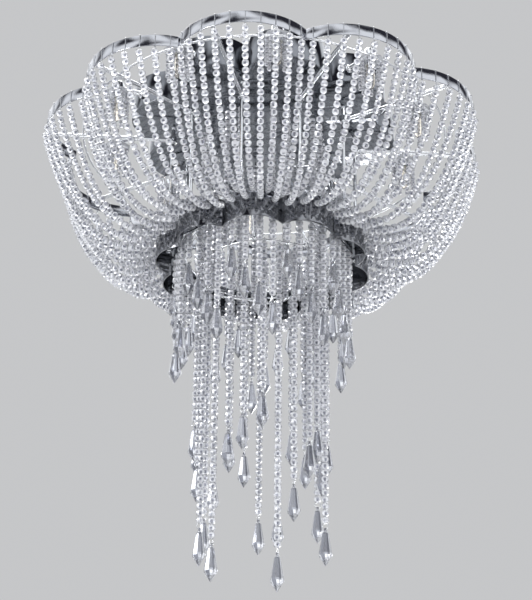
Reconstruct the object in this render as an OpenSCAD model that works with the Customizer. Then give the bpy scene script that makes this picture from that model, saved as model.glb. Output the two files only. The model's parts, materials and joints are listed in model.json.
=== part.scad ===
// Crystal ceiling light: a bowl of bead strands between two lobed frames, with two tiers of
// hanging strands and icicle drops. Millimetres, +Z up, origin on the ceiling at the centre.
// An angle is counted from -Y towards +X.

/* [Ceiling plate] */
// Diameter of the steel plate on the ceiling
plate_d = 130; // [120:1:160]
// Thickness of the ceiling plate
plate_t = 2; // [1.5:0.1:4]
// Distance between the ceiling screw holes along X
screw_x = 90; // [70:1:100]
// Distance between the ceiling screw holes along Y
screw_y = 50; // [40:1:60]
// Diameter of the ceiling screw holes
screw_hole_d = 5.5; // [4:0.1:7]
// Diameter of the cable hole
cable_hole_d = 20; // [10:1:24]
// Distance of the cable hole from the centre
cable_y = 38; // [34:1:42]

/* [Canopy] */
// Number of lobes round the canopy
canopy_lobes = 8; // [6:1:10]
// Distance from the centre to the tip of a canopy lobe
canopy_tip_r = 185; // [175:1:192]
// Distance from the centre to the cusp between two canopy lobes
canopy_cusp_r = 147; // [140:1:155]
// Height of the canopy
canopy_h = 46; // [30:1:55]
// Thickness of the canopy wall and floor
canopy_t = 1.2; // [0.8:0.1:2]
// Gap between the ceiling and the canopy wall
ceiling_gap = 0.5; // [0.2:0.1:2]
// Angle of the first canopy lobe
canopy_turn = 18; // [0:1:44]
// Distance from the centre to each canopy stud
stud_r = 52; // [50:1:56]
// Diameter of the canopy studs
stud_d = 5; // [4:0.5:6]

/* [Outer band] */
// Number of lobes round the outer and inner frames
lobes = 10; // [10:1:10]
// Distance from the centre to the tip of an outer lobe
band_tip_r = 300; // [290:1:320]
// Distance from the centre to the cusp between two outer lobes
band_cusp_r = 266; // [260:1:280]
// Height of the outer band
band_h = 17; // [12:1:25]
// Thickness of the outer band
band_t = 1.5; // [1:0.1:2.5]
// Depth of the outer band's top edge under the ceiling
band_drop = 60; // [60:1:70]

/* [Frame] */
// Diameter of the radial frame arms
arm_d = 6; // [4:0.5:8]
// Depth of the arms' axis under the ceiling
arm_drop = 67; // [66:1:72]
// Diameter of the wire ring on the arms
frame_ring_d = 3; // [2:0.5:4]
// Distance from the centre to the support rods
rod_r = 126; // [124:1:129]
// Diameter of the support rods
rod_d = 5; // [4:0.5:6]
// Angle of the first rod and the first arm
rod_turn = -7; // [-12:1:12]

/* [Inner frame] */
// Distance from the centre to the tip of an inner lobe
inner_tip_r = 145; // [142:1:150]
// Distance from the centre to the cusp between two inner lobes
inner_cusp_r = 126; // [125:0.5:128]
// Diameter of the hole in the inner plate
inner_hole_d = 216; // [210:1:218]
// Thickness of the inner plate
inner_t = 2; // [1.5:0.1:3]
// Depth of the inner plate's top face under the ceiling
inner_drop = 240; // [220:1:260]
// Height of the lobed wall round the inner plate
inner_wall_h = 40; // [36:1:44]
// Height of that wall's top edge above the plate
inner_rise = 14; // [12:1:16]
// Thickness of that wall
inner_wall_t = 1.5; // [1:0.1:2]

/* [Beads and drops] */
// Diameter of a bead, and the bead's share of a strand's length
bead_d = 9.2; // [9:0.1:10]
// Length of an icicle drop
drop_h = 50; // [40:1:55]
// Greatest width of an icicle drop
drop_w = 17; // [14:0.5:17]
// Diameter of the wire in the hooks, loops and jump rings
wire_d = 1.1; // [0.8:0.1:1.2]
// Clearance between a part that swings and the part that carries it
swing_gap = 0.6; // [0.5:0.1:0.8]

/* [Drapes] */
// Strands that hang from one outer lobe
strands_per_lobe = 10; // [8:2:10]
// How far a drape strand sags under its inner end
drape_sag = 8; // [5:0.5:12]
// Height step between neighbouring strands at the inner frame
row_step = 11; // [11:0.5:12]

/* [Short tier] */
// Distance from the centre to the bars of the short ring
short_apothem = 113; // [112:0.5:114]
// Distance between strands along a short bar
short_pitch = 17.8; // [17.6:0.1:18.2]
// Beads in the four strands of a short bar
short_beads = [4, 7, 10, 13];

/* [Long tier] */
// Number of bars in the long ring
long_sides = 8; // [8:1:8]
// Distance from the centre to the bars of the long ring
long_apothem = 82; // [81:0.5:83]
// Distance between strands along a long bar
long_pitch = 20.5; // [19:0.5:21]
// Depth of the long ring under the inner plate's top face
long_drop = 28; // [24:1:32]
// Angle of the first long bar
long_turn = 22; // [0:1:44]
// Beads in the three strands of each long bar
long_beads = [
    [23, 46, 36],
    [29, 26, 40],
    [26, 28, 34],
    [25, 21, 33],
    [34, 24, 22],
    [29, 36, 25],
    [24, 31, 41],
    [44, 28, 26]
];
// Diameter of the bars in both rings
bar_d = 3; // [2.5:0.1:3.2]

/* [Lamps] */
// Number of lamps
lamps = 10; // [10:1:10]
// Distance from the outer band's cusps inwards to the lamps
lamp_inset = 51; // [49:1:56]
// Angle of the first lamp
lamp_turn = 11; // [9:1:13]
// Depth of the lamp arms' axis under the ceiling
lamp_arm_drop = 30; // [28:1:34]
// Diameter of the lamp arms
lamp_arm_d = 7; // [5:0.5:8]
// Diameter of the lamp sockets
socket_d = 17; // [15:0.5:18]
// Length of the lamp sockets
socket_h = 26; // [22:1:30]
// Diameter of the bulbs
bulb_d = 13; // [11:0.5:14]
// Length of the bulbs that shows under the socket
bulb_h = 38; // [34:1:42]
// Diameter of the crystal dishes
dish_d = 40; // [38:0.5:42]
// Strings in one lamp fringe
fringe_strings = 8; // [6:1:9]
// Diameter of a fringe bead
fringe_bead_d = 6.2; // [5:0.1:6.4]
// Beads in one fringe string
fringe_beads = 7; // [4:1:8]

/* [Hidden] */

// Finishes
chrome = [0.80, 0.81, 0.83];
dark_chrome = [0.55, 0.57, 0.60];
steel = [0.62, 0.63, 0.65];
brass = [0.80, 0.66, 0.36];
clear = [0.88, 0.92, 0.97];
white = [0.93, 0.93, 0.92];
warm = [0.98, 0.95, 0.88];

round_fn = 96;
small_fn = 40;
touch = 0.1;
seat_gap = 0.3;

// Heights that several pieces share
canopy_bottom = -ceiling_gap - canopy_h;
floor_top = canopy_bottom + canopy_t;
band_top = -band_drop;
band_bottom = band_top - band_h;
inner_top = -inner_drop;
inner_bottom = inner_top - inner_t;
short_z = inner_bottom - 4;
long_z = inner_top - long_drop;

// Beads, loops and drops
bead_r = bead_d / 2;
bead_neck_r = bead_d * 0.14;
bead_belt = bead_d * 0.36;
wire_r = wire_d / 2;
bar_r = bar_d / 2;
loop_r = bar_r + swing_gap + wire_r;
chain_top = loop_r + wire_r;
ring_r = 4;
drop_hole_r = wire_r + swing_gap;
drop_head_r = 1.9;
drop_head_h = 5;
drop_shoulder_r = 4;
drop_shoulder_z = 7;
drop_belly_share = 0.72;
drop_tip_r = 0.4;

// Lamps, clear of the canopy, and the wire ring midway between them and the outer band's cusps
lamp_clear = 5;
lamp_r = max(band_cusp_r - lamp_inset, canopy_tip_r + dish_d / 2 + lamp_clear);
frame_ring_r = (lamp_r + dish_d / 2 + band_cusp_r - band_t) / 2;

// Pins, nuts and blocks
nut_h = 5;
nut_d = 11;
nut_clear = 0.1;
hook_out = wire_r + 0.2;
hook_grip = 6;
drape_gap = 6;
rosette_r = lamp_arm_d / 2 + 3;
pin_start = 0.55;
drape_top = band_bottom - drape_gap - bead_r;
drape_end_out = bead_r + 2;
drape_row_z = inner_bottom - 0.5;
tube_r = bead_r * 0.88;
drape_lengths = 8;
drape_ease = 1.5;
weld_r = bar_r + 0.8;
post_r = weld_r - 0.4;

function on_circle(r, a) = [r * sin(a), -r * cos(a)];
function acosh(x) = ln(x + sqrt(x * x - 1));
function cosh(x) = (exp(x) + exp(-x)) / 2;
function asinh(x) = ln(x + sqrt(x * x + 1));

// A lobed outline: arcs of radius lobe_r about centres at lobe_c, meeting in cusps
function lobe_h(n, cusp) = cusp * sin(180 / n);
function lobe_s(n, tip, cusp) = tip - cusp * cos(180 / n);
function lobe_r(n, tip, cusp) =
    (pow(lobe_h(n, cusp), 2) + pow(lobe_s(n, tip, cusp), 2)) / (2 * lobe_s(n, tip, cusp));
function lobe_c(n, tip, cusp) = tip - lobe_r(n, tip, cusp);
function lobe_half(n, tip, cusp) =
    atan2(lobe_h(n, cusp), cusp * cos(180 / n) - lobe_c(n, tip, cusp));
function edge_at(a, c, r) = c * cos(a) + sqrt(r * r - pow(c * sin(a), 2));
// Angle from the middle of the nearest lobe
function lobe_angle(a, n) = a - 360 / n * round(a * n / 360);
function edge_r(a, n, tip, cusp, inset = 0) =
    edge_at(lobe_angle(a, n), lobe_c(n, tip, cusp), lobe_r(n, tip, cusp) - inset);
// How far out a lobed wall stands at places up to w beside direction a
function wall_reach(a, w, n, tip, cusp, inset = 0) = [
    for (s = [-1:0.25:1])
        let (b = s * asin(w / cusp)) edge_r(a + b, n, tip, cusp, inset) * cos(b)
];

module lobed(n, tip, cusp, inset = 0) {
    c = lobe_c(n, tip, cusp);
    r = lobe_r(n, tip, cusp) - inset;
    circle(r = c * cos(180 / n), $fn = round_fn);
    for (k = [0:n - 1]) rotate(k * 360 / n) translate([0, -c]) circle(r = r, $fn = round_fn);
}

module lobed_wall(n, tip, cusp, t, h) {
    linear_extrude(h) difference() {
        lobed(n, tip, cusp);
        lobed(n, tip, cusp, t);
    }
}

module at(r, a, z) {
    rotate([0, 0, a]) translate([0, -r, z]) children();
}

// Chain of faceted beads that hangs down from the origin
module chain(n, d) {
    belt = d * bead_belt / bead_d;
    neck = d * bead_neck_r / bead_d;
    side = [
        for (i = [0:n - 1])
            for (p = [[neck, 0], [d / 2, (d - belt) / 2], [d / 2, (d + belt) / 2]])
                [p[0], -i * d - p[1]]
    ];
    rotate_extrude($fn = small_fn)
        polygon(concat([[0, 0]], side, [[neck, -n * d], [0, -n * d]]));
}

module wire_ring(r) {
    rotate([0, 90, 0]) rotate_extrude($fn = small_fn) translate([r, 0]) circle(r = wire_r, $fn = 24);
}

// Icicle drop, with its hanging hole at the origin
module icicle() {
    top = drop_hole_r + 0.8;
    belly = drop_h * drop_belly_share;
    difference() {
        translate([0, 0, top]) rotate_extrude($fn = small_fn) polygon([
            [0, 0],
            [drop_head_r, 0],
            [drop_head_r, -drop_head_h],
            [drop_shoulder_r, -drop_shoulder_z],
            [drop_w / 2, -belly],
            [drop_tip_r, -drop_h],
            [0, -drop_h]
        ]);
        rotate([90, 0, 0]) cylinder(r = drop_hole_r, h = 4 * drop_head_r, center = true, $fn = 24);
    }
}

// One hanging strand: loop round the bar at the origin, beads, jump ring and drop
module strand(n) {
    chain_end = -chain_top - n * bead_d;
    ring_z = chain_end - ring_r + wire_r;
    union() {
        wire_ring(loop_r);
        translate([0, 0, -chain_top + touch]) chain(n, bead_d);
        translate([0, 0, ring_z]) wire_ring(ring_r);
    }
    translate([0, 0, ring_z - ring_r]) icicle();
}

// Closed ring of straight bars with a weld ball and the child on each corner
module bar_ring(sides, apothem, turn) {
    side = 2 * apothem * tan(180 / sides);
    rotate([0, 0, turn]) translate([-side / 2, -apothem, 0]) bar_ring_side(sides, side, sides) children();
}

// One side of such a ring, and the sides after it, each from the corner where the last one ended
module bar_ring_side(sides, side, left) {
    sphere(r = weld_r, $fn = small_fn);
    children();
    rotate([0, 90, 0]) cylinder(r = bar_r, h = side, $fn = small_fn);
    if (left > 1) translate([side, 0, 0]) rotate([0, 0, 360 / sides])
        bar_ring_side(sides, side, left - 1) children();
}

module ceiling_plate() {
    color(steel) difference() {
        translate([0, 0, -plate_t]) cylinder(d = plate_d, h = plate_t, $fn = round_fn);
        for (x = [-1, 1], y = [-1, 1]) translate([x * screw_x / 2, y * screw_y / 2, -plate_t - 1])
            cylinder(d = screw_hole_d, h = plate_t + 2, $fn = small_fn);
        translate([0, cable_y, -plate_t - 1]) cylinder(d = cable_hole_d, h = plate_t + 2, $fn = small_fn);
    }
}

module canopy_studs() {
    color(steel) for (x = [-1, 1]) translate([x * stud_r, 0, canopy_bottom - nut_h - 2])
        cylinder(d = stud_d, h = -plate_t - canopy_bottom + nut_h + 2, $fn = small_fn);
}

module canopy_nuts() {
    color(chrome) for (x = [-1, 1]) translate([x * stud_r, 0, canopy_bottom - nut_h]) difference() {
        cylinder(d = nut_d, h = nut_h, $fn = small_fn);
        translate([0, 0, -1]) cylinder(d = stud_d + 2 * nut_clear, h = nut_h + 2, $fn = small_fn);
    }
}

// Three-pole block for the mains wires, screwed under the ceiling plate
module terminal_block() {
    pole = 10;
    depth = 18;
    high = 16;
    color(white) translate([-1.5 * pole, -cable_y + 10, -plate_t - high]) difference() {
        cube([3 * pole, depth, high]);
        for (i = [0.5:1:2.5]) {
            translate([i * pole, -1, high / 2]) rotate([-90, 0, 0])
                cylinder(d = 4, h = depth + 2, $fn = 24);
            translate([i * pole, depth / 2, -1]) cylinder(d = 4, h = high / 2, $fn = 24);
        }
    }
}

module earth_terminal() {
    color(brass) translate([0, 8, -plate_t - 12]) {
        cylinder(d = 4, h = 12, $fn = small_fn);
        translate([0, 0, 4]) cylinder(d = 9, h = 3, $fn = small_fn);
    }
}

module canopy_wall() {
    color(dark_chrome) rotate([0, 0, canopy_turn]) translate([0, 0, floor_top])
        lobed_wall(canopy_lobes, canopy_tip_r, canopy_cusp_r, canopy_t, canopy_h - canopy_t);
}

module canopy_floor() {
    color(dark_chrome) difference() {
        translate([0, 0, canopy_bottom]) rotate([0, 0, canopy_turn])
            linear_extrude(canopy_t) lobed(canopy_lobes, canopy_tip_r, canopy_cusp_r);
        for (x = [-1, 1]) translate([x * stud_r, 0, canopy_bottom - 1])
            cylinder(d = stud_d + 1, h = canopy_t + 2, $fn = small_fn);
        for (k = [0:lobes - 1]) at(rod_r, rod_turn + k * 360 / lobes, canopy_bottom - 1)
            cylinder(d = rod_d + 2 * nut_clear, h = canopy_t + 2, $fn = small_fn);
    }
}

module support_rods() {
    color(chrome) for (k = [0:lobes - 1]) at(rod_r, rod_turn + k * 360 / lobes, inner_bottom - nut_h / 2)
        cylinder(d = rod_d, h = floor_top + nut_h - inner_bottom + nut_h / 2, $fn = small_fn);
}

module rod_nuts() {
    low_nut_h = nut_h * 0.6;
    color(chrome) for (k = [0:lobes - 1], z = [floor_top, inner_bottom - low_nut_h])
        at(rod_r, rod_turn + k * 360 / lobes, z) difference() {
            cylinder(d = nut_d - 1, h = z == floor_top ? nut_h : low_nut_h, $fn = small_fn);
            translate([0, 0, -1]) cylinder(d = rod_d + 2 * nut_clear, h = nut_h + 2, $fn = small_fn);
        }
}

// Tube from a clamp on the rod to the inside of the outer band
module frame_arms() {
    clamp_h = arm_d + 4;
    reach = min(wall_reach(rod_turn, arm_d / 2, lobes, band_tip_r, band_cusp_r, band_t)) - seat_gap;
    color(chrome) for (k = [0:lobes - 1]) at(0, rod_turn + k * 360 / lobes, -arm_drop) difference() {
        union() {
            translate([0, -rod_r, -clamp_h / 2]) cylinder(d = rod_d + 6, h = clamp_h, $fn = small_fn);
            translate([0, -rod_r, 0]) rotate([90, 0, 0])
                cylinder(d = arm_d, h = reach - rod_r, $fn = small_fn);
        }
        translate([0, -rod_r, -clamp_h]) cylinder(d = rod_d + 2 * nut_clear, h = 2 * clamp_h, $fn = small_fn);
    }
}

module frame_ring() {
    color(chrome) translate([0, 0, -arm_drop + (arm_d + frame_ring_d) / 2]) rotate_extrude($fn = round_fn)
        translate([frame_ring_r, 0]) circle(d = frame_ring_d, $fn = 24);
}

module outer_band() {
    color(chrome) translate([0, 0, band_bottom])
        lobed_wall(lobes, band_tip_r, band_cusp_r, band_t, band_h);
}

// Angle of strand i on its lobe's arc
function lobe_strand_a(i) =
    ((i + 0.5) / strands_per_lobe * 2 - 1) * lobe_half(lobes, band_tip_r, band_cusp_r);

// Upper end of strand i, under the band's outer face
function drape_from(i) =
    let (
        c = lobe_c(lobes, band_tip_r, band_cusp_r),
        a = lobe_strand_a(i),
        r = lobe_r(lobes, band_tip_r, band_cusp_r) + hook_out
    ) [r * sin(a), -c - r * cos(a), drape_top];

// Lower end of strand i, beside the inner frame; every second strand ends a row higher
function drape_to(i) =
    let (
        a = ((i + 0.5) / strands_per_lobe - 0.5) * 360 / lobes,
        p = on_circle(edge_r(a, lobes, inner_tip_r, inner_cusp_r, -drape_end_out), a)
    ) [p[0], p[1], drape_row_z + (i % 2) * row_step];

// Catenary through both ends: the scale at which its two halves span the distance
function span_of(a, high, low) = a * (acosh(1 + high / a) + acosh(1 + low / a));
function scale_for(s, high, low, lo = 1, hi = 4000, n = 40) =
    n == 0 ? (lo + hi) / 2
    : span_of((lo + hi) / 2, high, low) < s ? scale_for(s, high, low, (lo + hi) / 2, hi, n - 1)
    : scale_for(s, high, low, lo, (lo + hi) / 2, n - 1);

// Slope angle of a catenary at x, in degrees
function slope_at(x) = atan((exp(x) - exp(-x)) / 2);

// Strand from p to q: straight lengths between points on one catenary, with a bead at each point
module drape_strand(p, q) {
    s = norm([q[0] - p[0], q[1] - p[1]]);
    high = p[2] - q[2] + drape_sag;
    a = scale_for(s, high, drape_sag);
    x_low = a * acosh(1 + high / a);
    steep = slope_at(-x_low / a);
    flat = slope_at((s - x_low) / a);
    pts = [
        for (i = [0:drape_lengths])
            let (x = a * asinh(tan(steep + (flat - steep) * pow(i / drape_lengths, drape_ease))))
            [x + x_low, a * (cosh(x / a) - 1) + q[2] - drape_sag]
    ];
    translate(p) rotate([0, 0, atan2(q[1] - p[1], q[0] - p[0])]) drape_length(pts, 0, 0);
}

// Length i of a strand, and the lengths below it, each turned from the one above it
module drape_length(pts, i, lean_before) {
    v = pts[i + 1] - pts[i];
    lean = atan2(v[0], v[1]);
    rotate([0, lean - lean_before, 0]) {
        cylinder(r = tube_r, h = norm(v), $fn = small_fn);
        sphere(r = bead_r, $fn = small_fn);
        translate([0, 0, norm(v)])
            if (i + 2 < len(pts)) drape_length(pts, i + 1, lean);
            else sphere(r = bead_r, $fn = small_fn);
    }
}

module drape(k) {
    color(clear) rotate([0, 0, k * 360 / lobes])
        for (i = [0:strands_per_lobe - 1]) drape_strand(drape_from(i), drape_to(i));
}

// Wire over the band's top edge, down its outer face to the first bead
module outer_hooks() {
    c = lobe_c(lobes, band_tip_r, band_cusp_r);
    r = lobe_r(lobes, band_tip_r, band_cusp_r);
    low = drape_top + bead_r + seat_gap / 2;
    high = band_top + wire_r + touch;
    color(chrome) for (k = [0:lobes - 1], i = [0:strands_per_lobe - 1])
        rotate([0, 0, k * 360 / lobes]) translate([0, -c, 0]) rotate([0, 0, lobe_strand_a(i)]) {
            translate([0, -r - hook_out, low]) cylinder(d = wire_d, h = high - low, $fn = 24);
            translate([0, -r + band_t + hook_out, high - hook_grip])
                cylinder(d = wire_d, h = hook_grip, $fn = 24);
            translate([0, -r + band_t + 2 * hook_out, high]) rotate([90, 0, 0])
                cylinder(d = wire_d, h = band_t + 4 * hook_out, $fn = 24);
        }
}

module inner_plate() {
    color(dark_chrome) difference() {
        translate([0, 0, inner_bottom]) linear_extrude(inner_t)
            lobed(lobes, inner_tip_r, inner_cusp_r, inner_wall_t + seat_gap);
        translate([0, 0, inner_bottom - 1]) cylinder(d = inner_hole_d, h = inner_t + 2, $fn = round_fn);
        for (k = [0:lobes - 1]) at(rod_r, rod_turn + k * 360 / lobes, inner_bottom - 1)
            cylinder(d = rod_d + 2 * nut_clear, h = inner_t + 2, $fn = small_fn);
    }
}

module inner_band() {
    color(chrome) translate([0, 0, inner_top + inner_rise - inner_wall_h])
        lobed_wall(lobes, inner_tip_r, inner_cusp_r, inner_wall_t, inner_wall_h);
}

// Pins from the inner frame to the last bead of each drape strand
module inner_hooks() {
    pin_z = inner_bottom + inner_t / 2;
    color(chrome) for (k = [0:lobes - 1], i = [0:strands_per_lobe - 1]) rotate([0, 0, k * 360 / lobes]) {
        a = ((i + 0.5) / strands_per_lobe - 0.5) * 360 / lobes;
        start = edge_r(a, lobes, inner_tip_r, inner_cusp_r) + pin_start;
        end = edge_r(a, lobes, inner_tip_r, inner_cusp_r, -drape_end_out) - bead_r - seat_gap / 2;
        at(start, a, pin_z + (i % 2) * (row_step - 1)) rotate([90, 0, 0])
            cylinder(d = wire_d, h = end - start, $fn = 24);
    }
}

// Ten bars under the inner plate, on a short post at each corner
module short_ring() {
    color(chrome) translate([0, 0, short_z]) bar_ring(lobes, short_apothem, 0)
        cylinder(r = post_r, h = inner_bottom - short_z, $fn = small_fn);
}

// Eight bars, with a stub on each corner that a strut stands on
module long_ring() {
    color(chrome) translate([0, 0, long_z]) bar_ring(long_sides, long_apothem, long_turn)
        cylinder(r = post_r, h = weld_r + touch, $fn = small_fn);
}

// Struts that rise from the long ring's corners to feet under the inner plate
module ring_struts() {
    strut_r = bar_r - 0.3;
    corner = long_apothem / cos(180 / long_sides);
    out = inner_hole_d / 2 + strut_r + 0.8 - corner;
    up = inner_bottom - strut_r - 1 - long_z;
    start = weld_r + 3 * seat_gap;
    color(chrome) for (k = [0:long_sides - 1])
        at(corner, long_turn + (k + 0.5) * 360 / long_sides, long_z) rotate([atan2(out, up), 0, 0]) {
            translate([0, 0, start]) cylinder(r = strut_r, h = norm([out, up]) - start, $fn = small_fn);
            translate([0, 0, norm([out, up])]) {
                sphere(r = strut_r + 0.1, $fn = small_fn);
                rotate([-atan2(out, up), 0, 0]) cylinder(r = strut_r, h = strut_r + 1, $fn = small_fn);
            }
        }
}

module upper_strings() {
    bottom = long_z + bar_r + seat_gap;
    count = floor((canopy_bottom - bottom) / bead_d);
    rest = canopy_bottom - bottom - count * bead_d;
    color(clear) for (k = [0:long_sides - 1], x = [-0.5, 0.5])
        rotate([0, 0, long_turn + k * 360 / long_sides]) translate([x * long_pitch, -long_apothem, 0]) {
            translate([0, 0, canopy_bottom - rest]) chain(count, bead_d);
            translate([0, 0, canopy_bottom - rest - bead_d / 2])
                cylinder(r = bead_neck_r - 0.2, h = rest + bead_d / 2, $fn = 24);
        }
}

module lamp_arms() {
    for (k = [0:lamps - 1]) {
        a = lamp_turn + k * 360 / lamps;
        wall = wall_reach(a - canopy_turn, rosette_r, canopy_lobes, canopy_tip_r, canopy_cusp_r);
        start = max(wall) + seat_gap;
        color(chrome) at(start, a, -lamp_arm_drop) {
            rotate([90, 0, 0])
                cylinder(d = lamp_arm_d, h = lamp_r - socket_d / 2 - start - touch, $fn = small_fn);
            rotate([90, 0, 0]) cylinder(r = rosette_r, h = 2, $fn = small_fn);
        }
    }
}

socket_top = -lamp_arm_drop + socket_h / 2 - 4;
socket_bottom = socket_top - socket_h;
dish_top = socket_bottom + 8;
dish_t = 4;

module lamp_sockets() {
    color(chrome) for (k = [0:lamps - 1]) at(lamp_r, lamp_turn + k * 360 / lamps, socket_bottom)
        cylinder(d = socket_d, h = socket_h, $fn = small_fn);
}

module bulbs() {
    color(warm) for (k = [0:lamps - 1]) at(lamp_r, lamp_turn + k * 360 / lamps, socket_bottom)
        rotate_extrude($fn = small_fn) polygon([
            [0, 0],
            [bulb_d * 0.5, 0],
            [bulb_d * 0.5, -bulb_h * 0.75],
            [bulb_d * 0.3, -bulb_h * 0.93],
            [0, -bulb_h]
        ]);
}

module crystal_dishes() {
    color(clear) for (k = [0:lamps - 1]) at(lamp_r, lamp_turn + k * 360 / lamps, dish_top - dish_t)
        rotate_extrude($fn = small_fn) polygon([
            [socket_d / 2 + touch, 0],
            [dish_d / 2 - 3, 0],
            [dish_d / 2, dish_t * 0.4],
            [dish_d / 2, dish_t * 0.7],
            [dish_d / 2 - 4, dish_t],
            [socket_d / 2 + touch, dish_t]
        ]);
}

// Small bead strings that hang from the dish round the bulb
module lamp_fringes() {
    fringe_r = dish_d / 2 - 3 - fringe_bead_d / 2;
    color(clear) for (k = [0:lamps - 1], j = [0:fringe_strings - 1])
        at(lamp_r, lamp_turn + k * 360 / lamps, dish_top - dish_t) rotate([0, 0, j * 360 / fringe_strings])
            translate([0, -fringe_r, 0]) chain(fringe_beads, fringe_bead_d);
}

module short_strands(k) {
    color(clear) rotate([0, 0, k * 360 / lobes])
        for (i = [0:len(short_beads) - 1])
            translate([(i - (len(short_beads) - 1) / 2) * short_pitch, -short_apothem, short_z])
                strand(short_beads[i]);
}

module long_strands(k) {
    row = long_beads[k % len(long_beads)];
    color(clear) rotate([0, 0, long_turn + k * 360 / long_sides])
        for (i = [0:len(row) - 1])
            translate([(i - (len(row) - 1) / 2) * long_pitch, -long_apothem, long_z])
                strand(row[i]);
}

ceiling_plate();
canopy_studs();
canopy_nuts();
terminal_block();
earth_terminal();
canopy_wall();
canopy_floor();
support_rods();
rod_nuts();
frame_arms();
frame_ring();
outer_band();
outer_hooks();
inner_plate();
inner_band();
inner_hooks();
short_ring();
long_ring();
ring_struts();
upper_strings();
lamp_arms();
lamp_sockets();
bulbs();
crystal_dishes();
lamp_fringes();
for (k = [1:lobes]) {
    drape(k - 1);
    short_strands(k - 1);
}
for (k = [1:long_sides]) long_strands(k - 1);
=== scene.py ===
import json
import math
import random

import bmesh
import bpy
import numpy as np
from mathutils import Matrix, Vector


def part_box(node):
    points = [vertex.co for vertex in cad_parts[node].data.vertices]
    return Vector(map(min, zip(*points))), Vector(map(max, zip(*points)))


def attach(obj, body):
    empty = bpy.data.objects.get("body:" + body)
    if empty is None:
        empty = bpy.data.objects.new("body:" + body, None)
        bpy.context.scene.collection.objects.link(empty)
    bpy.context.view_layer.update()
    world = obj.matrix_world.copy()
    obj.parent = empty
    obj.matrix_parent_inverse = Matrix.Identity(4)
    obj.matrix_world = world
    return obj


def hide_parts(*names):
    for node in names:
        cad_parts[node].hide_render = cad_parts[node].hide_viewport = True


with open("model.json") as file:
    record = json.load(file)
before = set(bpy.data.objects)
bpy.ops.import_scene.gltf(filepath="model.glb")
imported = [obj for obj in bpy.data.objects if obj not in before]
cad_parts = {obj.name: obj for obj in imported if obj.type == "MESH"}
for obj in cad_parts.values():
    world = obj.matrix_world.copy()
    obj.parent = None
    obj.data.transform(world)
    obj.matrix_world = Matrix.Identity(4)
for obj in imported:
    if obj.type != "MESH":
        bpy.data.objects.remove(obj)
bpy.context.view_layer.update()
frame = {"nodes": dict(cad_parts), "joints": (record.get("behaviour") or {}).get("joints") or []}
random.seed(7)
scene = bpy.context.scene
scene.view_settings.view_transform = "Standard"
mm = 0.001
print("frame loaded,", len(frame["nodes"]), "CAD nodes")


# camera, at the photograph's place: below the light and a little to the right
cameraSet = {
    "place": (0.2754, -2.3261, -1.5941),
    "headingDeg": 6.63,
    "pitchDeg": 28.708,
    "rollDeg": 0.606,
    "lensMm": 120.73,
    "sensorMm": 36,
}


def addCamera():
    turn = Matrix.Rotation(math.radians(cameraSet["headingDeg"]), 4, "Z")
    turn = turn @ Matrix.Rotation(math.radians(90 + cameraSet["pitchDeg"]), 4, "X")
    turn = turn @ Matrix.Rotation(math.radians(cameraSet["rollDeg"]), 4, "Z")
    bpy.ops.object.camera_add()
    camera = bpy.context.object
    camera.name = "photoCamera"
    camera.matrix_world = Matrix.Translation(cameraSet["place"]) @ turn
    camera.data.lens = cameraSet["lensMm"]
    camera.data.sensor_width = cameraSet["sensorMm"]
    scene.camera = camera


addCamera()


# small helpers for modelling; all their sizes are in mm
weldDistance = 1e-6


def deselectAll():
    if bpy.context.object and bpy.context.object.mode != "OBJECT":
        bpy.ops.object.mode_set(mode="OBJECT")
    bpy.ops.object.select_all(action="DESELECT")


def pickOnly(piece):
    deselectAll()
    piece.select_set(True)
    bpy.context.view_layer.objects.active = piece


def applyPlace(piece):
    pickOnly(piece)
    bpy.ops.object.transform_apply(location=True, rotation=True, scale=True)


def applyModifiers(piece):
    pickOnly(piece)
    for modifier in list(piece.modifiers):
        bpy.ops.object.modifier_apply(modifier=modifier.name)


def smoothBy(piece, angleDeg):
    pickOnly(piece)
    bpy.ops.object.shade_smooth_by_angle(angle=math.radians(angleDeg))


# patterns are removed once their copies are made
def discard(*patterns):
    for pattern in patterns:
        bpy.data.objects.remove(pattern)


# a turned form: a ring of corners, extruded and scaled from ring to ring; a ring is (z, radius)
def turned(name, sides, rings, closeEnds=True):
    deselectAll()
    z, r = rings[0]
    bpy.ops.mesh.primitive_circle_add(
        vertices=sides, radius=r * mm, fill_type="NGON" if closeEnds else "NOTHING"
    )
    piece = bpy.context.object
    piece.name = name
    bpy.ops.object.mode_set(mode="EDIT")
    bpy.ops.mesh.select_all(action="SELECT")
    bpy.ops.transform.translate(value=(0, 0, z * mm))
    for nextZ, nextR in rings[1:]:
        step = {"value": (0, 0, (nextZ - z) * mm)}
        if closeEnds:
            bpy.ops.mesh.extrude_region_move(TRANSFORM_OT_translate=step)
        else:
            bpy.ops.mesh.extrude_edges_move(TRANSFORM_OT_translate=step)
        grow = nextR / r
        bpy.ops.transform.resize(value=(grow, grow, 1), center_override=(0, 0, 0))
        z, r = nextZ, nextR
    bpy.ops.mesh.select_all(action="SELECT")
    bpy.ops.mesh.normals_make_consistent(inside=False)
    bpy.ops.object.mode_set(mode="OBJECT")
    return piece


# rings that are given from another height, such as a piece's lower or upper end
def ringsFrom(z, rings):
    return [(z + step, r) for step, r in rings]


# turns a piece made along +Z so that it points outwards, along -Y
def pointOutwards(piece):
    piece.rotation_euler = (math.radians(90), 0, 0)
    applyPlace(piece)
    return piece


# cuts a round hole through a piece
def bored(piece, radius, centre, length, tiltDeg=(0, 0, 0), sides=16):
    deselectAll()
    bpy.ops.mesh.primitive_cylinder_add(
        vertices=sides, radius=radius * mm, depth=length * mm,
        location=[v * mm for v in centre], rotation=[math.radians(v) for v in tiltDeg],
    )
    drill = bpy.context.object
    applyPlace(drill)
    cut = piece.modifiers.new("bore", "BOOLEAN")
    cut.operation = "DIFFERENCE"
    cut.solver = "EXACT"
    cut.object = drill
    applyModifiers(piece)
    discard(drill)
    return piece


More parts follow.
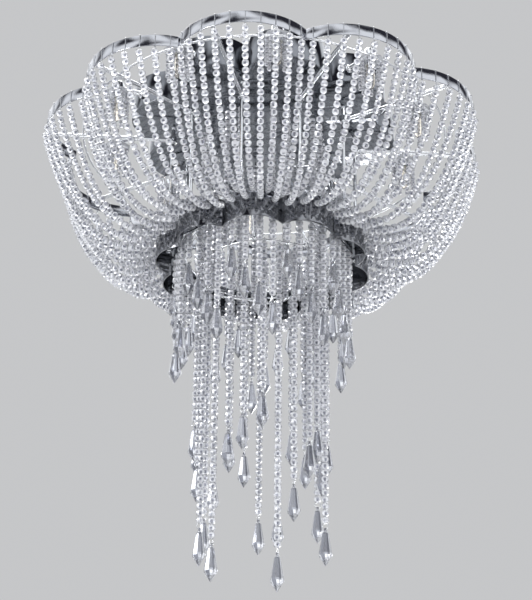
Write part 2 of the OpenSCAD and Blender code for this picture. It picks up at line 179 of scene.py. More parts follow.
def bevelled(piece, width, angleDeg=40, segments=1):
    edge = piece.modifiers.new("edge", "BEVEL")
    edge.width = width * mm
    edge.segments = segments
    edge.limit_method = "ANGLE"
    edge.angle_limit = math.radians(angleDeg)
    applyModifiers(piece)
    return piece


# a wire or a bar along points
def wireAlong(name, points, radius, closed=False, sides=2):
    deselectAll()
    curve = bpy.data.curves.new(name, "CURVE")
    curve.dimensions = "3D"
    line = curve.splines.new("POLY")
    line.points.add(len(points) - 1)
    for corner, point in zip(line.points, points):
        corner.co = (*[v * mm for v in point], 1)
    line.use_cyclic_u = closed
    curve.bevel_depth = radius * mm
    curve.bevel_resolution = sides
    curve.use_fill_caps = not closed
    piece = bpy.data.objects.new(name, curve)
    scene.collection.objects.link(piece)
    pickOnly(piece)
    bpy.ops.object.convert(target="MESH")
    return bpy.context.object


# one mesh with a copy of the pattern at each place
def copiesOf(name, pattern, places):
    grown = bmesh.new()
    for place in places:
        first = len(grown.verts)
        grown.from_mesh(pattern.data)
        grown.verts.ensure_lookup_table()
        bmesh.ops.transform(grown, matrix=place, verts=grown.verts[first:])
    mesh = bpy.data.meshes.new(name)
    grown.to_mesh(mesh)
    grown.free()
    piece = bpy.data.objects.new(name, mesh)
    scene.collection.objects.link(piece)
    return piece


def joined(name, pieces):
    deselectAll()
    for piece in pieces:
        piece.select_set(True)
    bpy.context.view_layer.objects.active = pieces[0]
    if len(pieces) > 1:
        bpy.ops.object.join()
    pieces[0].name = name
    return pieces[0]


# gives a finished piece its material and body, and hides the CAD nodes that it stands for
def settle(piece, body, material, slot, *nodes):
    piece.data.materials.clear()
    piece.data.materials.append(material)
    for face in piece.data.polygons:
        face.material_index = 0
    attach(piece, body)
    if nodes:
        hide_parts(*nodes)
    return piece


def placeOf(x, y, z):
    return Matrix.Translation(Vector((x, y, z)) * mm)


# a place at radius r and angle a (degrees from -Y towards +X), with -Y turned outwards
def placeAt(r, a, z=0):
    return Matrix.Rotation(math.radians(a), 4, "Z") @ Matrix.Translation((0, -r * mm, z * mm))


def placesAround(look, z=0):
    return [placeAt(look["r"], look["turnDeg"] + 360 * k / look["count"], z) for k in range(look["count"])]


def circlePoints(r, count, plane, z=0):
    points = []
    for i in range(count):
        a = 2 * math.pi * i / count
        u, v = r * math.cos(a), r * math.sin(a)
        points.append((0, u, v) if plane == "YZ" else (u, v, z))
    return points


def boxMm(node):
    low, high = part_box(node)
    return low / mm, high / mm


# the loose solids of a CAD node, each as an array of its corners
def solidsOf(node):
    mesh = frame["nodes"][node].data
    merged = bmesh.new()
    merged.from_mesh(mesh)
    bmesh.ops.remove_doubles(merged, verts=merged.verts, dist=weldDistance)
    solids, seen = [], set()
    for start in merged.verts:
        if start.index in seen:
            continue
        seen.add(start.index)
        stack, found = [start], []
        while stack:
            corner = stack.pop()
            found.append(corner.co / mm)
            for edge in corner.link_edges:
                other = edge.other_vert(corner)
                if other.index not in seen:
                    seen.add(other.index)
                    stack.append(other)
        solids.append(np.array(found))
    merged.free()
    return solids


# shared effect: fine uneven polish, as a value between two limits and a height
polishLook = {"coarseDetail": 3, "fineDetail": 5, "fineTimes": 9, "spread": (0.3, 0.7), "bumpDepth": 0.0005}


def makePolishGroup():
    group = bpy.data.node_groups.new("unevenPolish", "ShaderNodeTree")
    for name, kind in (("Place", "Vector"), ("Grain", "Float"), ("Low", "Float"), ("High", "Float")):
        group.interface.new_socket(name, in_out="INPUT", socket_type="NodeSocket" + kind)
    for name in ("Value", "Height"):
        group.interface.new_socket(name, in_out="OUTPUT", socket_type="NodeSocketFloat")
    nodes, links = group.nodes, group.links
    source = nodes.new("NodeGroupInput")
    result = nodes.new("NodeGroupOutput")
    coarse = nodes.new("ShaderNodeTexNoise")
    coarse.inputs["Detail"].default_value = polishLook["coarseDetail"]
    fine = nodes.new("ShaderNodeTexNoise")
    fine.inputs["Detail"].default_value = polishLook["fineDetail"]
    faster = nodes.new("ShaderNodeMath")
    faster.operation = "MULTIPLY"
    faster.inputs[1].default_value = polishLook["fineTimes"]
    spread = nodes.new("ShaderNodeMapRange")
    spread.inputs["From Min"].default_value = polishLook["spread"][0]
    spread.inputs["From Max"].default_value = polishLook["spread"][1]
    links.new(source.outputs["Place"], coarse.inputs["Vector"])
    links.new(source.outputs["Grain"], coarse.inputs["Scale"])
    links.new(source.outputs["Place"], fine.inputs["Vector"])
    links.new(source.outputs["Grain"], faster.inputs[0])
    links.new(faster.outputs[0], fine.inputs["Scale"])
    links.new(coarse.outputs[0], spread.inputs["Value"])
    links.new(source.outputs["Low"], spread.inputs["To Min"])
    links.new(source.outputs["High"], spread.inputs["To Max"])
    links.new(spread.outputs[0], result.inputs["Value"])
    links.new(fine.outputs[0], result.inputs["Height"])
    return group


polishGroup = makePolishGroup()


def startMaterial(name, color):
    material = bpy.data.materials.new(name)
    material.use_nodes = True
    shader = material.node_tree.nodes["Principled BSDF"]
    shader.inputs["Base Color"].default_value = (*color, 1)
    return material, material.node_tree, shader


# adds the polish group to a material: uneven roughness and a very shallow relief
def addPolish(tree, shader, look):
    nodes, links = tree.nodes, tree.links
    place = nodes.new("ShaderNodeTexCoord")
    polish = nodes.new("ShaderNodeGroup")
    polish.node_tree = polishGroup
    polish.inputs["Grain"].default_value = look["grain"]
    polish.inputs["Low"].default_value = look["rough"][0]
    polish.inputs["High"].default_value = look["rough"][1]
    bump = nodes.new("ShaderNodeBump")
    bump.inputs["Strength"].default_value = look["relief"]
    bump.inputs["Distance"].default_value = polishLook["bumpDepth"]
    links.new(place.outputs["Object"], polish.inputs["Place"])
    links.new(polish.outputs["Value"], shader.inputs["Roughness"])
    links.new(polish.outputs["Height"], bump.inputs["Height"])
    links.new(bump.outputs["Normal"], shader.inputs["Normal"])


metals = {
    "polishedChrome": {"color": (0.80, 0.81, 0.83), "grain": 40, "rough": (0.03, 0.10), "relief": 0.05},
    # bandChromePaintedShade and innerChromePaintedShade are the same polished chrome painted darker:
    # painted shade for the dark surroundings that their faces reflect, darkest on the inner band
    "bandChromePaintedShade": {"color": (0.50, 0.51, 0.54), "grain": 90, "rough": (0.03, 0.10), "relief": 0.15},
    "innerChromePaintedShade": {"color": (0.21, 0.215, 0.23), "grain": 60, "rough": (0.02, 0.06), "relief": 0.03},
    # chromeWithPaintedShade, on the canopy and the inner plate, is chrome painted dark: painted shade for
    # the dark room that these mirror faces reflect
    "chromeWithPaintedShade": {"color": (0.22, 0.23, 0.25), "grain": 25, "rough": (0.05, 0.14), "relief": 0.05},
    "steelWire": {"color": (0.72, 0.73, 0.75), "grain": 90, "rough": (0.12, 0.25), "relief": 0.10},
    "zincPlate": {"color": (0.62, 0.63, 0.65), "grain": 60, "rough": (0.28, 0.45), "relief": 0.25},
    "turnedBrass": {"color": (0.80, 0.62, 0.30), "grain": 80, "rough": (0.15, 0.30), "relief": 0.15},
}


def metal(name):
    look = metals[name]
    material, tree, shader = startMaterial(name, look["color"])
    shader.inputs["Metallic"].default_value = 1
    addPolish(tree, shader, look)
    return material


# colours by facing, from facets that face the eye (0) to facets seen edge on (1): the pale and warm tones
# are the glass's own colour; the darker bands and the dark edges are painted shade, standing in for dark
# reflections and refraction
paleTone = (0.96, 0.97, 1.0)
paintedDarkFacet = (0.26, 0.27, 0.31)
paintedEdgeShade = (0.03, 0.035, 0.06)
warmTone = (1.0, 0.97, 0.92)
glasses = {
    "cutCrystal": {
        "clear": 0.60, "ior": 1.56, "grain": 120, "rough": (0.0, 0.04), "relief": 0.02,
        "tintAndPaintedShade": [
            (0.0, paleTone), (0.008, paleTone), (0.02, (0.24, 0.25, 0.30)), (0.065, (0.30, 0.31, 0.37)),
            (0.14, paleTone), (0.52, paleTone), (0.82, paintedEdgeShade),
        ],
    },
    "dropCrystal": {
        "clear": 0.80, "ior": 1.60, "grain": 60, "rough": (0.0, 0.02), "relief": 0.01,
        "tintAndPaintedShade": [
            (0.0, paleTone), (0.05, paleTone), (0.09, paintedDarkFacet), (0.22, paintedDarkFacet),
            (0.32, paleTone), (0.60, paleTone), (0.92, paintedEdgeShade),
        ],
    },
    "bulbGlass": {
        "clear": 1.0, "ior": 1.47, "grain": 40, "rough": (0.02, 0.06), "relief": 0.03,
        "tintAndPaintedShade": [(0.0, warmTone), (0.5, warmTone), (1.0, (0.7, 0.66, 0.6))],
    },
}


def glass(name):
    look = glasses[name]
    material, tree, shader = startMaterial(name, look["tintAndPaintedShade"][0][1])
    shader.inputs["Transmission Weight"].default_value = look["clear"]
    shader.inputs["IOR"].default_value = look["ior"]
    # painted shade: Layer Weight facing picks the base colour from these stops, so facets in bands and at
    # the edges are painted dark in place of real reflection and refraction
    facing = tree.nodes.new("ShaderNodeLayerWeight")
    paintedShadeRamp = tree.nodes.new("ShaderNodeValToRGB")
    stops = paintedShadeRamp.color_ramp.elements
    stops.remove(stops[1])
    stops[0].color = (*look["tintAndPaintedShade"][0][1], 1)
    for position, color in look["tintAndPaintedShade"][1:]:
        stops.new(position).color = (*color, 1)
    tree.links.new(facing.outputs["Facing"], paintedShadeRamp.inputs[0])
    tree.links.new(paintedShadeRamp.outputs[0], shader.inputs["Base Color"])
    addPolish(tree, shader, look)
    return material


mouldings = {
    "ivoryPlastic": {"color": (0.86, 0.86, 0.83), "grain": 150, "rough": (0.37, 0.53), "relief": 0.2},
    "tungsten": {"color": (0.35, 0.30, 0.25), "grain": 150, "rough": (0.42, 0.58), "relief": 0.2},
}


def moulded(name):
    look = mouldings[name]
    material, tree, shader = startMaterial(name, look["color"])
    addPolish(tree, shader, look)
    return material


chrome = metal("polishedChrome")
bandChromePaintedShade = metal("bandChromePaintedShade")
innerChromePaintedShade = metal("innerChromePaintedShade")
chromeWithPaintedShade = metal("chromeWithPaintedShade")
steel = metal("steelWire")
zinc = metal("zincPlate")
brass = metal("turnedBrass")
crystal = glass("cutCrystal")
dropCrystal = glass("dropCrystal")
bulbGlass = glass("bulbGlass")
plastic = moulded("ivoryPlastic")
filament = moulded("tungsten")
print("materials made")


# cut bead: a belt round the middle and flat facets down to a small table at each end
# its outline is in shares of the bead's length
bead = {
    "length": 9.2, "smallLength": 6.2, "sides": 8,
    "outline": [
        (-0.497, 0.11), (-0.41, 0.31), (-0.24, 0.47), (-0.08, 0.5),
        (0.08, 0.5), (0.24, 0.47), (0.41, 0.31), (0.497, 0.11),
    ],
}


def makeBead(name, size):
    return turned(name, bead["sides"], [(z * size, r * size) for z, r in bead["outline"]])


# icicle drop: hanging head, narrow neck, long flat facets down to the belly, short ones to the point
drop = {
    "sides": 8, "length": 50,
    "rings": [
        (0, 1.1), (-0.8, 1.85), (-4.6, 2.0), (-7.0, 4.0),
        (-34.4, 8.3), (-37.0, 8.3), (-49.2, 0.9), (-50.0, 0.25),
    ],
    "hole": 1.15, "holeBelowTop": 1.95, "drill": 12, "drillSides": 12,
}


def makeDrop():
    piece = turned("icicle", drop["sides"], drop["rings"])
    centre = (0, 0, -drop["holeBelowTop"])
    return bored(piece, drop["hole"], centre, drop["drill"], (90, 0, 0), drop["drillSides"])


beadPattern = makeBead("cutBead", bead["length"])
smallBeadPattern = makeBead("smallCutBead", bead["smallLength"])
dropPattern = makeDrop()


# each bead is turned about its strand by an angle of its own
def beadSpin():
    return Matrix.Rotation(random.uniform(0, math.pi / 4), 4, "Z")


def beadPlaces(spots):
    places = []
    for spot, along in spots:
        lean = Vector(along).to_track_quat("Z", "X").to_matrix().to_4x4()
        places.append(placeOf(*spot) @ lean @ beadSpin())
    return places


# the bowl: strands that hang on one catenary each, between the ends that the CAD strand has
bowl = {
    "lobes": 10, "beadRadius": 4.6, "tubeRadius": 4.05, "wire": 0.25,
    "capShare": 0.5, "tipShare": 0.3, "leastSag": 1.0, "scales": (1.0, 4000.0), "halvings": 50,
}


# the catenary's scale for a span and the heights of its two ends over its lowest point
def catenaryScale(span, high, low):
    small, large = bowl["scales"]
    for _ in range(bowl["halvings"]):
        a = (small + large) / 2
        reach = a * (math.acosh(1 + high / a) + math.acosh(1 + low / a))
        if reach < span:
            small = a
        else:
            large = a
    return a


# where a CAD strand starts and ends, its way inwards, its span and its lowest height
def strandEnds(solid):
    top = solid[:, 2].max() - bowl["beadRadius"]
    cap = solid[solid[:, 2] > top + bowl["capShare"] * bowl["beadRadius"]]
    start = Vector((*cap[:, :2].mean(axis=0), top))
    way = Vector((*solid[:, :2].mean(axis=0), 0)) - Vector((start.x, start.y, 0))
    way.normalize()
    reach = (solid[:, 0] - start.x) * way.x + (solid[:, 1] - start.y) * way.y
    tip = solid[reach > reach.max() - bowl["tipShare"] * bowl["beadRadius"]]
    span = reach.max() - bowl["beadRadius"]
    end = Vector((start.x + way.x * span, start.y + way.y * span, tip[:, 2].mean()))
    return start, end, way, span, solid[:, 2].min() + bowl["tubeRadius"]


def strandSpots(solid):
    start, end, way, span, lowest = strandEnds(solid)
    sag = max(end.z - lowest, bowl["leastSag"])
    high = start.z - end.z + sag
    a = catenaryScale(span, high, sag)
    xLow = a * math.acosh(1 + high / a)
    from0 = a * math.sinh(xLow / a)
    whole = from0 + a * math.sinh((span - xLow) / a)
    count = round(whole / bead["length"]) + 1
    spots = []
    for i in range(count):
        x = a * math.asinh((whole * i / (count - 1) - from0) / a)
        out = x + xLow
        z = end.z - sag + a * (math.cosh(x / a) - 1)
        spot = (start.x + way.x * out, start.y + way.y * out, z)
        spots.append((spot, (-way.x, -way.y, -math.sinh(x / a))))
    return spots


def makeBowl():
    wires = []
    for lobe in range(1, bowl["lobes"] + 1):
        node = f"drape_{lobe}"
        places = []
        for solid in solidsOf(node):
            spots = strandSpots(solid)
            places += beadPlaces(spots)
            wires.append(wireAlong("bowlWire", [spot for spot, along in spots], bowl["wire"], sides=0))
        settle(copiesOf(f"bowlBeads{lobe}", beadPattern, places), "frame", crystal, "crystal", node)
    settle(joined("bowlWires", wires), "frame", steel, "polished_chrome", "drape_1")


makeBowl()
print("bowl strands made")


# hanging strands: a loop on the bar, beads on a wire, a jump ring and an icicle drop
hanging = {
    "loopRadius": 2.65, "loopWire": 0.55, "loopSteps": 16, "loopTop": 3.2,
    "ringRadius": 4.0, "ringWire": 0.55, "ringSteps": 20, "wire": 0.3, "strandWidth": 1,
}


# where each strand of a bar hangs, and how deep its drop reaches
def strandTips(node):
    tips = []
    for solid in solidsOf(node):
        low, high = solid.min(axis=0), solid.max(axis=0)
        x, y = (low[0] + high[0]) / 2, (low[1] + high[1]) / 2
        near = [tip for tip in tips if math.hypot(tip[0] - x, tip[1] - y) < hanging["strandWidth"]]
        if near:
            near[0][2] = min(near[0][2], low[2])
        else:
            tips.append([x, y, low[2]])
    return tips


def makeHanging(joint):
    node = joint["child"]
    h = hanging
    centre = Vector(joint["pos_m"]) / mm
    alongBar = -Vector(joint["axis"])
    face = Matrix.Rotation(math.atan2(alongBar.y, alongBar.x), 4, "Z")
    facetTurn = Matrix.Rotation(math.pi / drop["sides"], 4, "Z")
    loop = wireAlong("loop", circlePoints(h["loopRadius"], h["loopSteps"], "YZ"), h["loopWire"], True, 1)
    ring = wireAlong("ring", circlePoints(h["ringRadius"], h["ringSteps"], "YZ"), h["ringWire"], True, 1)
    beads, drops, loops, rings, wires = [], [], [], [], []
    for x, y, tip in strandTips(node):
        top = tip + drop["length"]
        drops.append(placeOf(x, y, top) @ face @ facetTurn)
        loops.append(placeOf(x, y, centre.z) @ face)
        ringZ = top - drop["holeBelowTop"] + h["ringRadius"]
        rings.append(placeOf(x, y, ringZ) @ face)
        chainTop = centre.z - h["loopTop"]
        chainLow = ringZ + h["ringRadius"]
        count = round((chainTop - chainLow) / bead["length"])
        spots = []
        for i in range(count):
            z = chainTop - (i + 0.5) * (chainTop - chainLow) / count
            spots.append(((x, y, z), (0, 0, 1)))
        beads += beadPlaces(spots)
        wires.append(wireAlong("strandWire", [(x, y, chainTop), (x, y, chainLow)], h["wire"], sides=0))
    settle(copiesOf(f"{node}.beads", beadPattern, beads), node, crystal, "crystal", node)
    settle(copiesOf(f"{node}.drops", dropPattern, drops), node, dropCrystal, "crystal", node)
    metalwork = [copiesOf("loops", loop, loops), copiesOf("rings", ring, rings)] + wires
    settle(joined(f"{node}.wires", metalwork), node, steel, "polished_chrome", node)
    discard(loop, ring)


for joint in frame["joints"]:
    makeHanging(joint)
print("hanging strands made")


# lobed outlines, as arcs that meet in cusps
outerLobes = {"count": 10, "tip": 300, "cusp": 266, "thick": 1.5, "round": 0.45, "turnDeg": 0}
innerLobes = {
    "count": 10, "tip": 145, "cusp": 126, "thick": 1.5, "round": 0.45, "turnDeg": 0,
    "hole": 108, "plateInset": 1.8, "plateRound": 0.2,
}
canopyLobes = {"count": 8, "tip": 185, "cusp": 147, "thick": 1.2, "round": 0.3, "turnDeg": 18}
arcSteps = 22
smallHoleSteps = 20


# distance of a lobe's centre from the axis, its radius and half its opening
def lobeArc(lobes):
    half = math.pi / lobes["count"]
    height = lobes["cusp"] * math.sin(half)
    rise = lobes["tip"] - lobes["cusp"] * math.cos(half)
    r = (height * height + rise * rise) / (2 * rise)
    centre = lobes["tip"] - r
    return centre, r, math.atan2(height, lobes["cusp"] * math.cos(half) - centre)


def lobedPoints(lobes, inset=0):
    centre, r, _ = lobeArc(lobes)
    half = math.pi / lobes["count"]
    cusp = centre * math.cos(half) + math.sqrt((r - inset) ** 2 - (centre * math.sin(half)) ** 2)
    opening = math.atan2(cusp * math.sin(half), cusp * math.cos(half) - centre)
    points = []
    for k in range(lobes["count"]):
        a = 2 * math.pi * k / lobes["count"] + math.radians(lobes["turnDeg"])
        for i in range(arcSteps):
            t = -opening + 2 * opening * i / arcSteps
            out, side = centre + (r - inset) * math.cos(t), (r - inset) * math.sin(t)
            points.append((out * math.sin(a) + side * math.cos(a), -out * math.cos(a) + side * math.sin(a)))
    return points


# a band or a plate: flat outlines filled between, given height, and rounded along the edges
raisedEdge = {"bevelDeg": 50, "segments": 2, "smoothDeg": 30}


def raised(name, outlines, node, rounding):
    low, high = boxMm(node)
    deselectAll()
    curve = bpy.data.curves.new(name, "CURVE")
    curve.dimensions = "2D"
    curve.fill_mode = "BOTH"
    for outline in outlines:
        line = curve.splines.new("POLY")
        line.points.add(len(outline) - 1)
        for corner, point in zip(line.points, outline):
            corner.co = (point[0] * mm, point[1] * mm, 0, 1)
        line.use_cyclic_u = True
    curve.extrude = (high.z - low.z) / 2 * mm
    piece = bpy.data.objects.new(name, curve)
    scene.collection.objects.link(piece)
    piece.location.z = (low.z + high.z) / 2 * mm
    pickOnly(piece)
    bpy.ops.object.convert(target="MESH")
    piece = bpy.context.object
    applyPlace(piece)
    bpy.ops.object.mode_set(mode="EDIT")
    bpy.ops.mesh.select_all(action="SELECT")
    bpy.ops.mesh.remove_doubles(threshold=weldDistance)
    bpy.ops.mesh.normals_make_consistent(inside=False)
    bpy.ops.object.mode_set(mode="OBJECT")
    bevelled(piece, rounding, raisedEdge["bevelDeg"], raisedEdge["segments"])
    smoothBy(piece, raisedEdge["smoothDeg"])
    return piece


def circleOutline(r, x=0, y=0, count=96):
    steps = [2 * math.pi * i / count for i in range(count)]
    return [(x + r * math.cos(a), y + r * math.sin(a)) for a in steps]


rod = {
    "r": 126, "turnDeg": -7, "count": 10, "radius": 2.5, "root": 2.2, "pitch": 0.8, "threads": 11,
    "hole": 2.6, "nut": 5,
}
stud = {
    "r": 52, "radius": 2.5, "root": 2.2, "pitch": 0.8, "threads": 14,
    "hole": 3.0, "nut": 5.5, "nutHole": 2.6,
}


def rodHoles():
    outlines = []
    for place in placesAround(rod):
        spot = place.to_translation() / mm
        outlines.append(circleOutline(rod["hole"], spot.x, spot.y, smallHoleSteps))
    return outlines


def makeBands():
    outlines = [lobedPoints(outerLobes), lobedPoints(outerLobes, outerLobes["thick"])]
    band = raised("outerBand", outlines, "outer_band", outerLobes["round"])
    settle(band, "frame", bandChromePaintedShade, "polished_chrome", "outer_band")
    outlines = [lobedPoints(innerLobes), lobedPoints(innerLobes, innerLobes["thick"])]
    band = raised("innerBand", outlines, "inner_band", innerLobes["round"])
    settle(band, "frame", innerChromePaintedShade, "polished_chrome", "inner_band")
    outlines = [lobedPoints(innerLobes, innerLobes["plateInset"]), circleOutline(innerLobes["hole"])]
    plate = raised("innerPlate", outlines + rodHoles(), "inner_plate", innerLobes["plateRound"])
    settle(plate, "frame", chromeWithPaintedShade, "dark_chrome", "inner_plate")


makeBands()
print("bands made")


# the canopy: a lobed wall under the ceiling and a lobed floor in it
def makeCanopy():
    outlines = [lobedPoints(canopyLobes), lobedPoints(canopyLobes, canopyLobes["thick"])]
    wall = raised("canopyWall", outlines, "canopy_wall", canopyLobes["round"])
    settle(wall, "frame", chromeWithPaintedShade, "dark_chrome", "canopy_wall")
    outlines = [lobedPoints(canopyLobes)] + rodHoles()
    for x in (-stud["r"], stud["r"]):
        outlines.append(circleOutline(stud["hole"], x, 0, smallHoleSteps))
    lid = raised("canopyFloor", outlines, "canopy_floor", canopyLobes["round"])
    settle(lid, "frame", chromeWithPaintedShade, "dark_chrome", "canopy_floor")


makeCanopy()
print("canopy made")


# ceiling plate: pressed steel disc with its four screw holes and the cable hole
ceilingPlate = {
    "radius": 65, "round": 0.3, "screwX": 45, "screwY": 25, "screwHole": 2.75, "screwSteps": 24,
    "cableY": 38, "cableHole": 10, "cableSteps": 48,
}


def makeCeilingPlate():
    c = ceilingPlate
    outlines = [circleOutline(c["radius"]), circleOutline(c["cableHole"], 0, c["cableY"], c["cableSteps"])]
    for x in (-c["screwX"], c["screwX"]):
        for y in (-c["screwY"], c["screwY"]):
            outlines.append(circleOutline(c["screwHole"], x, y, c["screwSteps"]))
    plate = raised("ceilingPlate", outlines, "ceiling_plate", c["round"])
    settle(plate, "frame", zinc, "plated_steel", "ceiling_plate")


# threaded bar: a chamfered end, a thread, the plain shank, a thread and a chamfered end
thread = {
    "sides": 14, "smoothDeg": 25, "endCut": 0.5, "lead": 0.4, "runOut": 0.5,
    "shank": 0.9, "tip": 0.1, "tipCut": 0.3,
}


# crests and roots one after the other, upwards from low
def threadRings(low, look):
    rings = []
    for i in range(look["threads"]):
        z = low + i * look["pitch"]
        rings += [(z, look["root"]), (z + 0.5 * look["pitch"], look["radius"])]
    return rings


def threadedBar(name, node, look):
    low, high = [corner.z for corner in boxMm(node)]
    t = thread
    length = look["threads"] * look["pitch"]
    rings = [(low, look["root"] - t["endCut"])] + threadRings(low + t["lead"], look)
    rings += [(low + length + t["runOut"], look["root"]), (low + length + t["shank"], look["radius"])]
    rings += [(high - length - t["shank"], look["radius"])] + threadRings(high - length - t["runOut"], look)
    rings += [(high - t["tip"], look["root"]), (high, look["root"] - t["tipCut"])]
    bar = turned(name, t["sides"], rings)
    smoothBy(bar, t["smoothDeg"])
    return bar


# hexagon nut with turned ends and a bore, from low upwards
hexagon = {"sides": 6, "endShare": 0.9, "cutShare": 0.1, "edge": 0.15, "edgeDeg": 30, "drillTimes": 4}


def hexNut(name, low, height, corner, bore):
    end, cut = corner * hexagon["endShare"], height * hexagon["cutShare"]
    rings = [(low, end), (low + cut, corner), (low + height - cut, corner), (low + height, end)]
    nut = turned(name, hexagon["sides"], rings)
    bored(nut, bore, (0, 0, low + height / 2), hexagon["drillTimes"] * height)
    return bevelled(nut, hexagon["edge"], hexagon["edgeDeg"])


def makeRods():
    places = placesAround(rod)
    pattern = threadedBar("supportRod", "support_rods", rod)
    settle(copiesOf("supportRods", pattern, places), "frame", chrome, "polished_chrome", "support_rods")
    discard(pattern)
    low, high = boxMm("rod_nuts")
    plateLow, floorHigh = boxMm("inner_plate")[0].z, boxMm("canopy_floor")[1].z
    lower = hexNut("lowerNut", low.z, plateLow - low.z, rod["nut"], rod["hole"])
    upper = hexNut("upperNut", floorHigh, high.z - floorHigh, rod["nut"], rod["hole"])
    pattern = joined("rodNut", [lower, upper])
    settle(copiesOf("rodNuts", pattern, places), "frame", chrome, "polished_chrome", "rod_nuts")
    discard(pattern)


def makeStuds():
    places = [placeOf(x, 0, 0) for x in (-stud["r"], stud["r"])]
    pattern = threadedBar("canopyStud", "canopy_studs", stud)
    settle(copiesOf("canopyStuds", pattern, places), "frame", zinc, "plated_steel", "canopy_studs")
    discard(pattern)
    low, high = boxMm("canopy_nuts")
    pattern = hexNut("canopyNut", low.z, high.z - low.z, stud["nut"], stud["nutHole"])
    settle(copiesOf("canopyNuts", pattern, places), "frame", chrome, "polished_chrome", "canopy_nuts")
    discard(pattern)


# terminal block: three poles with wire holes, screw wells, brass tubes and slotted screws
# screw rings stand on the block's lower face, tube ends on its two sides
terminal = {
    "pole": 10, "edge": 0.8, "hole": 2.0, "groove": 1.2, "drill": 40, "grooveSides": 12, "well": 12,
    "turnedSides": 14, "screw": [(3.4, 1.5), (3.8, 1.8), (6, 1.8)],
    "slot": 0.35, "slotAt": 3.4, "slotDrill": 8, "slotSides": 8,
    "tube": 1.95, "tubeInside": 1.5, "tubeInset": 1,
}
earth = {
    "post": [(0, 1.4), (0.5, 2.0)], "postRadius": 2.0, "postSides": 14,
    "washer": [(-6.2, 4.2), (-6.0, 4.5), (-5.2, 4.5), (-5.0, 4.2)], "washerSides": 20,
    "nutBelowTop": 8, "nutHeight": 1.8, "nut": 4.4, "nutHole": 1.5,
}


def makeTerminals():
    t = terminal
    low, high = boxMm("terminal_block")
    middle = (low + high) / 2
    across = (90, 0, 0)
    deselectAll()
    bpy.ops.mesh.primitive_cube_add(size=1, location=middle * mm)
    block = bpy.context.object
    block.name = "terminalBlock"
    block.scale = (high - low) * mm
    applyPlace(block)
    bevelled(block, t["edge"], segments=2)
    for x in (-t["pole"] / 2, t["pole"] / 2):
        bored(block, t["groove"], (x, middle.y, low.z), t["drill"], across, t["grooveSides"])
    fittings = []
    for x in (-t["pole"], 0, t["pole"]):
        bored(block, t["hole"], (x, middle.y, middle.z), t["drill"], across)
        bored(block, t["hole"], (x, middle.y, low.z), t["well"])
        screw = turned("screw", t["turnedSides"], ringsFrom(low.z, t["screw"]))
        for corner in screw.data.vertices:
            corner.co += Vector((x, middle.y, 0)) * mm
        slotCentre = (x, middle.y, low.z + t["slotAt"])
        bored(screw, t["slot"], slotCentre, t["slotDrill"], across, t["slotSides"])
        near, far = low.y + t["tubeInset"], high.y - t["tubeInset"]
        rings = [(near, t["tubeInside"]), (near, t["tube"]), (far, t["tube"]), (far, t["tubeInside"])]
        tube = turned("tube", t["turnedSides"], rings, closeEnds=False)
        tube.rotation_euler = (math.radians(-90), 0, 0)
        tube.location = (x * mm, 0, middle.z * mm)
        applyPlace(tube)
        fittings += [screw, tube]
    settle(block, "frame", plastic, "terminal_plastic", "terminal_block")
    settle(joined("terminalTubes", fittings), "frame", brass, "earth_brass", "terminal_block")


def makeEarth():
    low, high = boxMm("earth_terminal")
    rings = ringsFrom(low.z, earth["post"]) + [(high.z, earth["postRadius"])]
    post = turned("earthPost", earth["postSides"], rings)
    washer = turned("earthWasher", earth["washerSides"], ringsFrom(high.z, earth["washer"]))
    nutLow = high.z - earth["nutBelowTop"]
    nut = hexNut("earthNut", nutLow, earth["nutHeight"], earth["nut"], earth["nutHole"])
    piece = joined("earthTerminal", [post, washer, nut])
    centre = (low + high) / 2
    piece.location = (centre.x * mm, centre.y * mm, 0)
    applyPlace(piece)
    settle(piece, "frame", brass, "earth_brass", "earth_terminal")


makeCeilingPlate()
makeRods()
makeStuds()
makeTerminals()
makeEarth()
print("plate, rods and fixings made")


# arms: a tube from a bored clamp on the rod to the inside of the band, with the wire ring welded on
# the tube's far rings are given from its outer end
arm = {
    "gap": 0.1, "smoothDeg": 30,
    "clamp": [(-5, 4.8), (-4.3, 5.5), (4.3, 5.5), (5, 4.8)], "clampSides": 24, "drill": 40,
    "nearRings": [(4.8, 3.6), (7.0, 3.6), (7.8, 3.0)],
    "farRings": [(-3.4, 3.0), (-2.6, 3.5), (0, 3.5)], "tube": 3.0, "tubeSides": 20,
    "grub": [(5.0, 1.5), (6.0, 1.5), (6.4, 1.1)], "grubSides": 8,
}
wireRing = {
    "wire": 1.5, "steps": 150, "sides": 3, "smoothDeg": 40,
    "weld": [(-1.2, 0.5), (-0.8, 1.6), (0, 2.1), (0.8, 1.6), (1.2, 0.5)],
    "weldSides": 10, "weldSmoothDeg": 60,
}


def makeArms(z):
    solid = solidsOf("frame_arms")[0]
    length = np.hypot(solid[:, 0], solid[:, 1]).max() - rod["r"] - arm["gap"]
    clamp = turned("clamp", arm["clampSides"], arm["clamp"])
    bored(clamp, rod["hole"], (0, 0, 0), arm["drill"], sides=arm["clampSides"])
    rings = arm["nearRings"] + ringsFrom(length, arm["farRings"])
    tube = pointOutwards(turned("armTube", arm["tubeSides"], rings))
    grub = turned("grubScrew", arm["grubSides"], arm["grub"])
    grub.rotation_euler = (0, math.radians(90), 0)
    applyPlace(grub)
    pattern = joined("armPattern", [clamp, tube, grub])
    smoothBy(pattern, arm["smoothDeg"])
    places = placesAround(rod, z)
    settle(copiesOf("frameArms", pattern, places), "frame", chrome, "polished_chrome", "frame_arms")
    discard(pattern)


